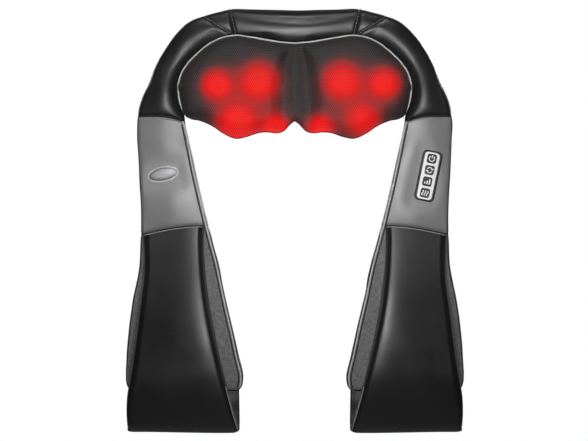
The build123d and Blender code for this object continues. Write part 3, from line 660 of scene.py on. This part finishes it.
# ---------------------------------------------------------------- cloth
def puff(obj, pinned, cap):
    """Inflates a padded piece as cloth, holding the pinned points; no point moves more than cap."""
    group = obj.vertex_groups.new(name="pinned")
    group.add([int(k) for k in pinned], 1.0, "REPLACE")
    scene = bpy.context.scene
    modifier = obj.modifiers.new("cloth", "CLOTH")
    settings = modifier.settings
    settings.quality = 5
    settings.mass = 0.3
    settings.tension_stiffness = settings.compression_stiffness = 25
    settings.shear_stiffness = 12
    settings.bending_stiffness = 1.5
    settings.vertex_group_mass = "pinned"
    settings.use_pressure = True
    settings.uniform_pressure_force = 4.0
    settings.effector_weights.gravity = 0
    modifier.collision_settings.use_collision = False
    modifier.point_cache.frame_start, modifier.point_cache.frame_end = 1, CLOTH_FRAMES
    before = np.array([v.co for v in obj.data.vertices])
    for number in range(1, CLOTH_FRAMES + 1):
        scene.frame_set(number)
    graph = bpy.context.evaluated_depsgraph_get()
    move = np.array([v.co for v in obj.evaluated_get(graph).data.vertices]) - before
    length = np.linalg.norm(move, axis=1)
    limit = cap * MM
    move *= (limit * np.tanh(length / limit) / np.maximum(length, 1e-9))[:, None]
    obj.modifiers.remove(modifier)
    scene.frame_set(1)
    obj.vertex_groups.clear()
    obj.data.vertices.foreach_set("co", (before + move).astype(np.float32).ravel())
    obj.data.update()


# ---------------------------------------------------------------- pieces
def finish_piece(obj, body, replaced=(), other=None):
    """Attaches a piece to the body it rides on, or only bakes its place if it spans another body too; hides
    the CAD parts it stands for.
    """
    if other:
        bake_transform(obj)
    else:
        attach(obj, body)
    if replaced:
        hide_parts(*replaced)


def pad_piece(name, rings, cap, seed, waves=0.5):
    """A closed tube of leather over foam, held at both ends: rumpled a little, then inflated."""
    last = len(rings) - 1
    outward = unit(rings - rings.mean(axis=1, keepdims=True))
    row = np.arange(len(rings))
    calm = np.clip(np.minimum(row, last - row) / 4, 0, 1)
    shift = rumple(rings, 26, waves, seed) * calm[:, None]
    obj = face_outwards(grid_object(name, rings + outward * shift[:, :, None], BLACK, True, (0, last)))
    puff(obj, [row * RING + j for row in (0, last) for j in range(RING)], cap)
    return obj


def yoke():
    """The middle of the band."""
    stop = KNOTS[SEAM]
    rings, _ = sleeve((-stop, stop), 3.0, (-stop, stop))
    obj = pad_piece("yoke_pad", rings, 1.6, 1)
    finish_piece(obj, "pod", ("yoke_leather", "yoke_foam"))


def shoulder(side, name):
    """One shoulder, from its seam on the band down to the grey panel."""
    ends = sorted((side * KNOTS[SEAM], side * KNOTS[TOP_SEAM]))
    rings, _ = sleeve(ends, 2.6, ends)
    # the groove of the slanted seam
    (x0, z0), (x1, z1) = slanted_seam(side)
    length = math.dist((x0, z0), (x1, z1))
    dx, dz = (x1 - x0) / length, (z1 - z0) / length
    off_x, off_z = rings[:, :, 0] - x0, rings[:, :, 2] - z0
    t = off_x * dx + off_z * dz
    apart = np.abs(off_x * dz - off_z * dx)
    on_front = (rings[:, :, 1] < -2) & (t > -2) & (t < length + 4)
    rings[:, :, 1] += np.where(on_front, SLANT_GROOVE * np.exp(-((apart / 1.7) ** 2)), 0)
    obj = pad_piece(f"{name}_shoulder_pad", rings, 2.0, 2 + side)
    finish_piece(obj, "pod", (f"{name}_shoulder_leather", f"{name}_shoulder_foam"),
                 f"{name}_arm")
    return obj, rings


def slanted_seam(side):
    """The X, Z of its ends on one side."""
    return [(side * x, z) for x, z in SLANTED_SEAM]


def front_line(obj, ends, count, lift):
    """Points on a piece's front under the straight line between two X, Z points, raised by lift."""
    found = []
    for t in np.linspace(0, 1, count):
        x, z = (a + (b - a) * t for a, b in zip(*ends))
        hit, place, normal, _ = obj.ray_cast(Vector((x * MM, -0.2, z * MM)), Vector((0, 1, 0)))
        if hit:
            found.append(np.array(place) / MM + np.array(normal) * lift)
    return np.array(found)


def from_edge(count):
    """How many steps each of count points is from the nearer end."""
    return np.minimum(np.arange(count), np.arange(count)[::-1]) * 1.0


def arm(side, name):
    """The arm's sleeve, and the skins of its grey panel and pad, cut from the sleeve's front."""
    top, bottom = side * KNOTS[TOP_SEAM], side * KNOTS[BOTTOM_SEAM]
    rings, s = sleeve(sorted((top, side * KNOTS[LAST])), 3.4, (top, bottom), closing=True)
    if side < 0:
        rings, s = rings[::-1], s[::-1]
    seam_row = int(np.argmin(np.abs(s - bottom)))
    cover = pad_piece(f"{name}_arm_sleeve", rings, 0.6, 5 + side, 0.3)
    grid = points_of(cover, rings.shape)
    middle = grid.mean(axis=1, keepdims=True)
    columns = [k % RING for k in range(-1, GUSSET)]  # from the piping's corner to the gusset seam

    def skin(rows):
        """The sleeve's front at these rows, raised by 1 mm and down again at its edges."""
        patch = grid[rows][:, columns]
        out = unit(patch - middle[rows]) * np.array([0.25, 1, 0])
        i, j = from_edge(len(rows))[:, None], from_edge(len(columns))[None, :]
        rise = np.minimum(1 - np.exp(-(i + 0.15) / 0.9), 1 - np.exp(-(j + 0.1) / 0.8))
        return patch + out * rise[:, :, None]

    panel_rows = list(range(seam_row + 1))
    panel = skin(panel_rows)
    # the leather lies flat under the badge or the controller, and the sleeve stays behind it
    at, tilt, half, level = ((CONTROLLER_AT, CONTROLLER_TILT, (13, 33), -30.8) if side > 0
                             else (BADGE_AT, -BADGE_TILT, (20, 10), -30.4))
    centre, right, up = local_frame(at, tilt)
    off = panel - centre
    outside = np.hypot(*(np.maximum(np.abs(off @ axis) - reach, 0) for axis, reach in zip((right, up), half)))
    panel[:, :, 1] += np.maximum(level - panel[:, :, 1], 0) * np.exp(-((outside / 15) ** 2))
    sunk = np.maximum(panel[:, :, 1] + 0.8 - grid[panel_rows][:, columns][:, :, 1], 0)
    for i, row in enumerate(panel_rows):
        for j, column in enumerate(columns):
            cover.data.vertices[row * RING + column].co.y += sunk[i, j] * MM
    pad = skin(list(range(seam_row, len(rings) - 2)))
    return cover, grid, panel, pad


def thick_skin(name, patch, material):
    """A skin with turned-in edges: the patch, and its rim carried back."""
    inward = np.array([0, 1.2, 0])
    grid = np.concatenate([patch[:1] + inward, patch, patch[-1:] + inward])
    left, right = grid[:, :1] + inward, grid[:, -1:] + inward
    return grid_object(name, np.concatenate([left, grid, right], axis=1), material)


def pod_grid(columns, rows, inset=0.0):
    """X and Z of a ruled grid over the pod's outline, and the distance to the outline."""
    def across(count):
        return (POD_HALF - inset) * np.sin(np.linspace(-1, 1, count) * math.pi / 2)

    x, fine = across(columns), across(401)
    top, low = pod_top(np.abs(x)) - inset, pod_low(np.abs(x)) + inset
    v = np.linspace(-1, 1, rows)
    v = 0.5 + 0.3 * np.sin(v * math.pi / 2) + 0.2 * v  # closer rows at the top and the foot
    z = low[:, None] + (top - low)[:, None] * v[None, :]
    xx = np.repeat(x[:, None], rows, 1)
    edge = np.concatenate([np.stack([fine, pod_top(np.abs(fine)) - inset], 1),
                           np.stack([fine, pod_low(np.abs(fine)) + inset], 1)])
    flat = np.stack([xx.ravel(), z.ravel()], 1)
    distance = np.sqrt(((flat[:, None, :] - edge[None]) ** 2).sum(2)).min(1)
    return xx, z, distance.reshape(xx.shape)


def border_of(columns, rows):
    """The indexes of a grid's border points, once round."""
    index = np.arange(columns * rows).reshape(columns, rows)
    sides = (index[:, 0], index[-1, 1:], index[-2::-1, -1], index[0, -2:0:-1])
    return np.concatenate(sides).tolist()


def add_wall(points, faces, border, rings):
    """Carries the border on through more rings of points."""
    previous, count = border, len(border)
    for ring in rings:
        current = list(range(len(points), len(points) + count))
        points.extend(ring)
        faces.extend((previous[k], previous[(k + 1) % count], current[(k + 1) % count], current[k])
                     for k in range(count))
        previous = current


def mesh_front():
    """The stretched mesh over the massage heads."""
    x, z, distance = pod_grid(161, 91)
    swell = POD_DOME * np.sqrt(1 - (1 - np.clip(distance / POD_EDGE, 0, 1)) ** 2)
    for at_x, at_z, radius, _, press in GLOWS:
        near = np.exp(-(((x - at_x) ** 2 + (z - at_z) ** 2) / (radius * 0.85) ** 2))
        swell += press * near * np.clip(distance / 8, 0, 1)
    # the hollow between the two carriers, an arch that widens downwards, with a low ridge
    off = np.abs(x - HOLLOW_X)
    half = HOLLOW_HALF[0] + HOLLOW_HALF[1] * np.sqrt(np.clip((HOLLOW_TOP - z) / 60, 0, 1))
    hollow = 1 / (1 + np.exp((off - half) / 1.9))
    floor_level = HOLLOW_FLOOR + 0.05 * (z + 40) * np.exp(-((x / 10) ** 2))
    floor_level += HOLLOW_RIDGE * np.exp(-((off / 9) ** 2))
    beside = np.exp(-(((off - half - 2) / 4) ** 2)) * np.clip((HOLLOW_TOP - 8 - z) / 12, 0, 1)
    swell -= HOLLOW_EDGE * beside
    swell = swell * (1 - hollow) + np.minimum(swell, floor_level) * hollow
    grid = np.stack([x, POD_RIM_Y - swell, z], 2)
    grid[:, :, 1] += rumple(grid, 14, 0.35, 8) * np.clip(distance / 10, 0, 1)
    # the wall back to the seam, round the whole outline
    points, faces, border = list(grid.reshape(-1, 3)), grid_faces(*x.shape), border_of(*x.shape)
    rim = np.array([points[k] for k in border])
    out = rim * np.array([1 / 151, 0, 1 / 70])
    add_wall(points, faces, border, [rim + np.array([0, back, 0]) + out * draw for back, draw in MESH_WALL])
    obj = face_outwards(mesh_object("mesh_cover_skin", points, faces, MESH))
    finish_piece(obj, "pod", ("mesh_cover",))


def back_cover():
    """The cover of the pod's back, with a round hole under the power inlet's flange."""
    x, z, distance = pod_grid(151, 81, 0.4)
    from_side = np.interp(z, *zip(*POD_SIDE))
    from_top = np.interp(np.abs(x), *zip(*POD_TOP))
    full = np.minimum(from_side, from_top)
    y = full - BACK_EDGE_R * (1 - np.sqrt(1 - (1 - np.clip(distance / BACK_EDGE_R, 0, 1)) ** 2))
    y = np.where(distance < 0.05, full - BACK_EDGE_R, y)
    grid = np.stack([x, y, z], 2)
    grid[:, :, 1] += rumple(grid, 30, 0.25, 9) * np.clip(distance / 10, 0, 1)
    flat = grid.reshape(-1, 3)
    normal = unit(np.array(INLET_NORMAL))
    off = flat - np.array(INLET_AT)
    lateral = off - (off @ normal)[:, None] * normal
    r = np.linalg.norm(lateral, axis=1)
    cut = (r < INLET_HOLE_R - 1.8) & (flat[:, 1] > 20)
    edge = (r < INLET_HOLE_R) & (flat[:, 1] > 20) & ~cut
    flat[edge] += lateral[edge] * (INLET_HOLE_R / r[edge] - 1)[:, None]
    faces = [f for f in grid_faces(*x.shape) if not any(cut[v] for v in f)]
    # the wall forward to the seam
    points, border = list(flat), border_of(*x.shape)
    rim = np.array([flat[k] for k in border])
    to_seam = (0.5 - rim[:, 1])[:, None] * np.array([0, 1, 0])
    add_wall(points, faces, border, [rim + to_seam * share for share in (0.35, 0.7, 1.0)])
    obj = face_outwards(mesh_object("back_cover_skin", points, faces, BACK_MESH))
    finish_piece(obj, "pod", ("back_cover",))


def flap(side, name, rear):
    """One leaf of the hand loop: padded leather with a rolled, bound edge."""
    outline = np.array(FLAP_REAR if rear else FLAP_FRONT, float)
    knots = distances(outline)
    rows = 26 if rear else 96
    path = spline(knots, outline)(np.linspace(0, knots[-1], rows))
    ahead = unit(np.gradient(path, axis=0))
    normal = np.stack([ahead[:, 1], -ahead[:, 0]], 1)  # (Y, Z), outwards from the hand space
    u = np.linspace(0, 1, FLAP_ACROSS)
    u = 0.6 * (0.5 - 0.5 * np.cos(u * math.pi)) + 0.4 * u  # closer columns at both edges
    front, back = np.zeros((rows, FLAP_ACROSS, 3)), np.zeros((rows, FLAP_ACROSS, 3))
    for i, (y, z) in enumerate(path):
        if rear:
            x0, x1, rise, shear, roll_share = 71.5 + 0.02 * (z + 444), 217, 0.0, 0.0, 0.4
        else:
            x0, x1 = float(flap_inner(max(z, -446))), float(flap_outer(max(z, -446)))
            rise = FLAP_BELLY * math.exp(-(((z + 300) / 95) ** 2)) + FLAP_CROWN
            shear = math.exp(-(((z + 184.5) / 40) ** 2))  # the slanted top edge
            roll_share = 1
        inner_d, outer_d = u * (x1 - x0), (1 - u) * (x1 - x0)
        edge = np.minimum(inner_d, outer_d)
        tilt = shear * ((0.5 - u) * FLAP_SLANT + FLAP_BOW * np.sin(math.pi * u))
        roll = FLAP_ROLL * np.clip(1 - edge / 8.0, 0, 1) ** 2 * roll_share
        mid = rise * np.sin(math.pi * u**0.38) - roll
        half = FLAP_HALF_THICK * np.sqrt(np.clip(1 - np.clip(1 - edge / 2.6, 0, 1) ** 2, 0, 1))
        groove = 0.75 * np.exp(-(((edge - BINDING_WIDTH) / 0.8) ** 2))
        for target, offset in ((front, mid + half - groove), (back, mid - half)):
            target[i] = np.stack([side * (x0 + inner_d), y + normal[i, 0] * offset,
                                  z + normal[i, 1] * offset + tilt], 1)
    waves = rumple(front, 48, 0.35, 12 + side)
    front[:, :, 1] += waves
    back[:, :, 1] += waves
    grid = np.concatenate([front, back[:, -2:0:-1]], axis=1)
    node = f"{name}_{'rear' if rear else 'front'}_flap"
    obj = face_outwards(grid_object(f"{node}_leather", grid, BLACK_FLAP, True, (0, rows - 1)))
    # the bound edges get the darker binding leather: real binding, darkened further as painted shade
    obj.data.materials.append(BINDING_WITH_EDGE_SHADE)
    bound = int(np.sum(u * 110 < BINDING_WIDTH)) - 1  # columns in the binding, of 110 mm across
    for polygon in obj.data.polygons:
        columns = [v % grid.shape[1] for v in polygon.vertices]
        on_front = [min(c, FLAP_ACROSS - 1 - c) if c < FLAP_ACROSS else 0 for c in columns]
        if max(on_front) <= bound or min(columns) >= FLAP_ACROSS:
            polygon.material_index = 1
    finish_piece(obj, f"{name}_arm", (node,))
    return front


# ---------------------------------------------------------------- fittings
def local_frame(at, tilt):
    """The axes of a fitting that lies tilted on an arm's front: centre, right, up."""
    a = math.radians(tilt)
    right, up = np.array([math.cos(a), 0, -math.sin(a)]), np.array([math.sin(a), 0, math.cos(a)])
    return np.array(at, float), right, up


def ribbon(name, strokes, at, width):
    """Flat raised strokes on a button: each a list of points (right, up) in millimetres."""
    centre, right, up = at
    points, faces = [], []
    for stroke in strokes:
        line = np.asarray(stroke, float)
        direction = unit(np.gradient(line, axis=0))
        out = np.stack([-direction[:, 1], direction[:, 0]], 1) * width / 2
        add_tube(points, faces, [
            [centre + right * q[0] + up * q[1] + FORWARD * height
             for q, height in ((p - o, -0.3), (p - o * 0.85, 0.18), (p + o * 0.85, 0.18), (p + o, -0.3))]
            for p, o in zip(line, out)
        ])
    return face_outwards(mesh_object(name, points, faces, ICON, smooth=False))


def arc(start, end):
    """An arc round the middle of a button, between two angles in degrees."""
    return [(ARC_R * math.cos(t), ARC_R * math.sin(t)) for t in np.radians(np.linspace(start, end, 22))]


def arrow(angle):
    """The head at the end of an arc that runs clockwise to this angle."""
    a = math.radians(angle)
    out = np.array([math.cos(a), math.sin(a)])
    back = np.array([out[1], -out[0]]) * 1.3
    return [out * ARC_R - back + out * 1.2, out * ARC_R, out * ARC_R - back - out * 1.2]


def icons():
    """Generic symbols on the four buttons: power, direction, speed, heat."""
    bars = ((-2.5, -0.7), (0, 1.0), (2.5, 2.9))
    heights = np.linspace(-2.7, 2.7, 16)
    waves = [[(x + 0.75 * math.sin(h * 1.25), h - 0.1) for h in heights] for x in (-2.7, 0, 2.7)]
    drawings = {
        "power_button": [arc(122, 418), [(0, 0.6), (0, 1.8), (0, 3.8)]],
        "direction_button": [arc(160, 20), arc(340, 200), arrow(8), arrow(188)],
        "speed_button": [[(x, -2.8), (x, (-2.8 + top) / 2), (x, top)] for x, top in bars],
        "heat_button": waves,
    }
    centre, right, up = local_frame(CONTROLLER_AT, CONTROLLER_TILT)
    for row, (button, strokes) in enumerate(drawings.items()):
        at = (centre + up * BUTTON_PITCH * (1.5 - row), right, up)
        width = 1.9 if button == "speed_button" else 1.3
        strokes = [np.array(stroke) * ICON_SCALE for stroke in strokes]
        finish_piece(ribbon(button.replace("button", "icon"), strokes, at, width), button)


def badge():
    """A blank satin plate with a raised rim and a soft oval dome inside it."""
    centre, right, up = local_frame(BADGE_AT, -BADGE_TILT)
    turns = 2 * math.pi * np.arange(64) / 64
    grid = np.array([[centre + right * a * math.cos(t) + up * b * math.sin(t) + FORWARD * lift
                      for t in turns] for a, b, lift in BADGE_RINGS])
    obj = grid_object("badge_inlay", grid, SILVER, True, (len(BADGE_RINGS) - 1,))
    finish_piece(face_outwards(obj), "left_arm")


# ---------------------------------------------------------------- the whole
def build_pod():
    """The middle of the band, the mesh, the back cover, and the cords along their edges."""
    yoke()
    mesh_front()
    back_cover()
    # the piping lies between the leather and the mesh, round the top and both sides
    right_half = [(x, float(pod_top(x))) for x in POD_HALF * np.sin(np.linspace(0, 1, 60) * math.pi / 2)]
    right_half += [(151.3, 1), (151.4, -4), (149.6, -17), (146.2, -31), (144.2, -40)]
    path = []
    for x, z in [(-x, z) for x, z in right_half[::-1]] + right_half[1:]:
        under_yoke = float(np.clip((112 - abs(x)) / 30, 0, 1))
        out = math.copysign(0.6 * (1 - under_yoke), x)
        path.append((x + out, PIPING_Y - 3.5 * under_yoke, z - 0.9 * under_yoke))
    path = evenly(path, 2.4)
    finish_piece(tube("pod_piping_cord", path, PIPING_R, PIPING), "pod", ("pod_piping",))
    # a dark cord just behind the piping and wider than it: painted shade, showing as a dark line round the
    # piping
    shade = tube("pod_piping_shade_cord", path + np.array([0, 2.2, 0]), 1.7, DARK_CORD)
    finish_piece(shade, "pod")
    low = [(x, 0.6, float(pod_low(abs(x))) - 0.2) for x in np.linspace(-143, 143, 150)]
    finish_piece(tube("pod_lower_hem", evenly(low, 2.6), 0.9, DARK_CORD, 8), "pod")


def build_side(side, name):
    """One shoulder, arm and hand loop, with their seams, threads and piping."""
    body = f"{name}_arm"

    def cord(label, points, radius, material, rides="pod", bends=True, step=2.4, sides=8,
             stands_for=()):
        """A cord along the points, attached to the body it rides on; where it bends, only its place is baked.
        """
        obj = tube(f"{name}_{label}", evenly(points, step), radius, material, sides)
        finish_piece(obj, rides, stands_for, body if bends else None)

    def beside(points, outwards, forward, up):
        return points + np.array([side * outwards, -forward, up])

    pad, rings = shoulder(side, name)
    upper_ring = points_of(pad, rings.shape)[0 if side > 0 else -1]
    upright = upper_ring[[k % RING for k in range(-2, STARTS["inner_back"])]]
    cover, grid, panel, pad_patch = arm(side, name)
    panel_obj = thick_skin(f"{name}_panel_leather", panel, GREY)
    pad_obj = thick_skin(f"{name}_pad_fabric", pad_patch, PAD)
    bpy.context.view_layer.update()

    # seams and threads, laid on the finished surfaces
    slant = front_line(pad, slanted_seam(side), 22, 0.2)
    for label, line, stitched in (("slant_seam", slant, beside(slant, -0.9, 0.5, 1.3)),
                                  ("upright_seam", upright, beside(upright[:30], -1.3, 0.9, 0.3))):
        cord(label, line, 0.8, DARK_CORD, bends=False, step=2)
        finish_piece(stitches(f"{name}_{label}_stitches", stitched, SEAM_THREAD), "pod")
    cord("panel_top_seam", beside(panel[0, 1:], 0, 0.6, 0.6), 1.25, DARK_CORD, step=2.2)
    cord("panel_low_seam", beside(panel[-1, 1:], 0, 0.9, -0.3), 1.3, DARK_CORD, body, False, step=2.2)
    cord("gusset_seam", beside(grid[:-3, GUSSET], 0.3, 0, 0), 0.8, DARK_CORD, step=2.2)

    # light piping along the arm's inner edge, with a row of thread beside it
    inner_line = beside(grid[:-3, STARTS["inner"] + 5], 0.1, 0.9, 0)
    cord("arm_piping_cord", inner_line, 0.95, PIPING, sides=10,
         stands_for=(f"{name}_arm_piping",))
    cord("arm_piping_thread", beside(inner_line, 1.75, 0.4, 0), 0.4, THREAD, sides=6)
    cord("arm_piping_seam", beside(inner_line, 2.9, -0.2, 0), 0.8, DARK_CORD)

    finish_piece(cover, "pod", (f"{name}_arm_cover", f"{name}_arm_foam"), body)
    finish_piece(panel_obj, "pod", (f"{name}_grey_panel",), body)
    finish_piece(pad_obj, body, (f"{name}_arm_pad",))

    # the hand loop
    front = flap(side, name, False)
    flap(side, name, True)
    cord("flap_top_edge", beside(front[1, 2:-2], 0, 1.6, 0.6), 0.55, SEAM_THREAD, body, False)
    # a pale thread along the lower end of the inner edge: partly real stitching, partly a painted highlight
    # on the edge
    low_edge = front[front[:, 0, 2] < -384, 1]
    cord("flap_edge_thread", beside(low_edge, 0, 0.3, 0), 0.5, SEAM_THREAD, body, False)


def build_room():
    """Pale floor, soft lights, a white surround and the camera."""
    graph = Graph("studio_paper")
    fibre = graph.ramp(graph.noise(120.0, 3.0), [(0.3, 0.84), (0.7, 0.87)])
    paper = graph.surface({"Base Color": fibre, "Roughness": 0.9})
    reach = np.linspace(-3, 3, 13)
    floor = np.array([[(x, y, FLOOR_Z) for x in reach] for y in reach]) / MM
    grid_object("studio_floor", floor, paper)

    scene = bpy.context.scene
    for name, at, target, size, power, spread in LIGHTS:
        light = bpy.data.lights.new(name, "AREA")
        light.shape, light.size, light.size_y = "RECTANGLE", size[0], size[1]
        half = math.radians(spread) / 2
        beam = math.tan(half) / (math.tan(half) - half)  # how much narrowing brightens it
        light.energy, light.spread = power / beam, 2 * half
        obj = bpy.data.objects.new(name, light)
        obj.location = at
        obj.rotation_euler = (Vector(target) - Vector(at)).to_track_quat("-Z", "Y").to_euler()
        obj.visible_camera = False
        scene.collection.objects.link(obj)

    world = bpy.data.worlds.new("studio")
    scene.world = world
    world.use_nodes = True
    nodes, links = world.node_tree.nodes, world.node_tree.links
    background = nodes["Background"]
    background.inputs["Color"].default_value = (1, 1, 1, 1)
    seen = nodes.new("ShaderNodeMapRange")  # white to look at, dim as a light
    links.new(nodes.new("ShaderNodeLightPath").outputs["Is Camera Ray"], seen.inputs["Value"])
    seen.inputs["To Min"].default_value, seen.inputs["To Max"].default_value = WORLD_LIGHT, 1.0
    links.new(seen.outputs["Result"], background.inputs["Strength"])

    camera = bpy.data.cameras.new("camera")
    camera.sensor_width, camera.lens = 36.0, 36 * 3.0 / VIEW_WIDTH
    camera.clip_end = 30
    obj = bpy.data.objects.new("camera", camera)
    obj.location, obj.rotation_euler = CAMERA_AT, (math.pi / 2, 0, 0)
    scene.collection.objects.link(obj)
    scene.camera = obj
    scene.view_settings.view_transform = "Standard"


build_pod()
for side, name in SIDES:
    build_side(side, name)
icons()
badge()
build_room()
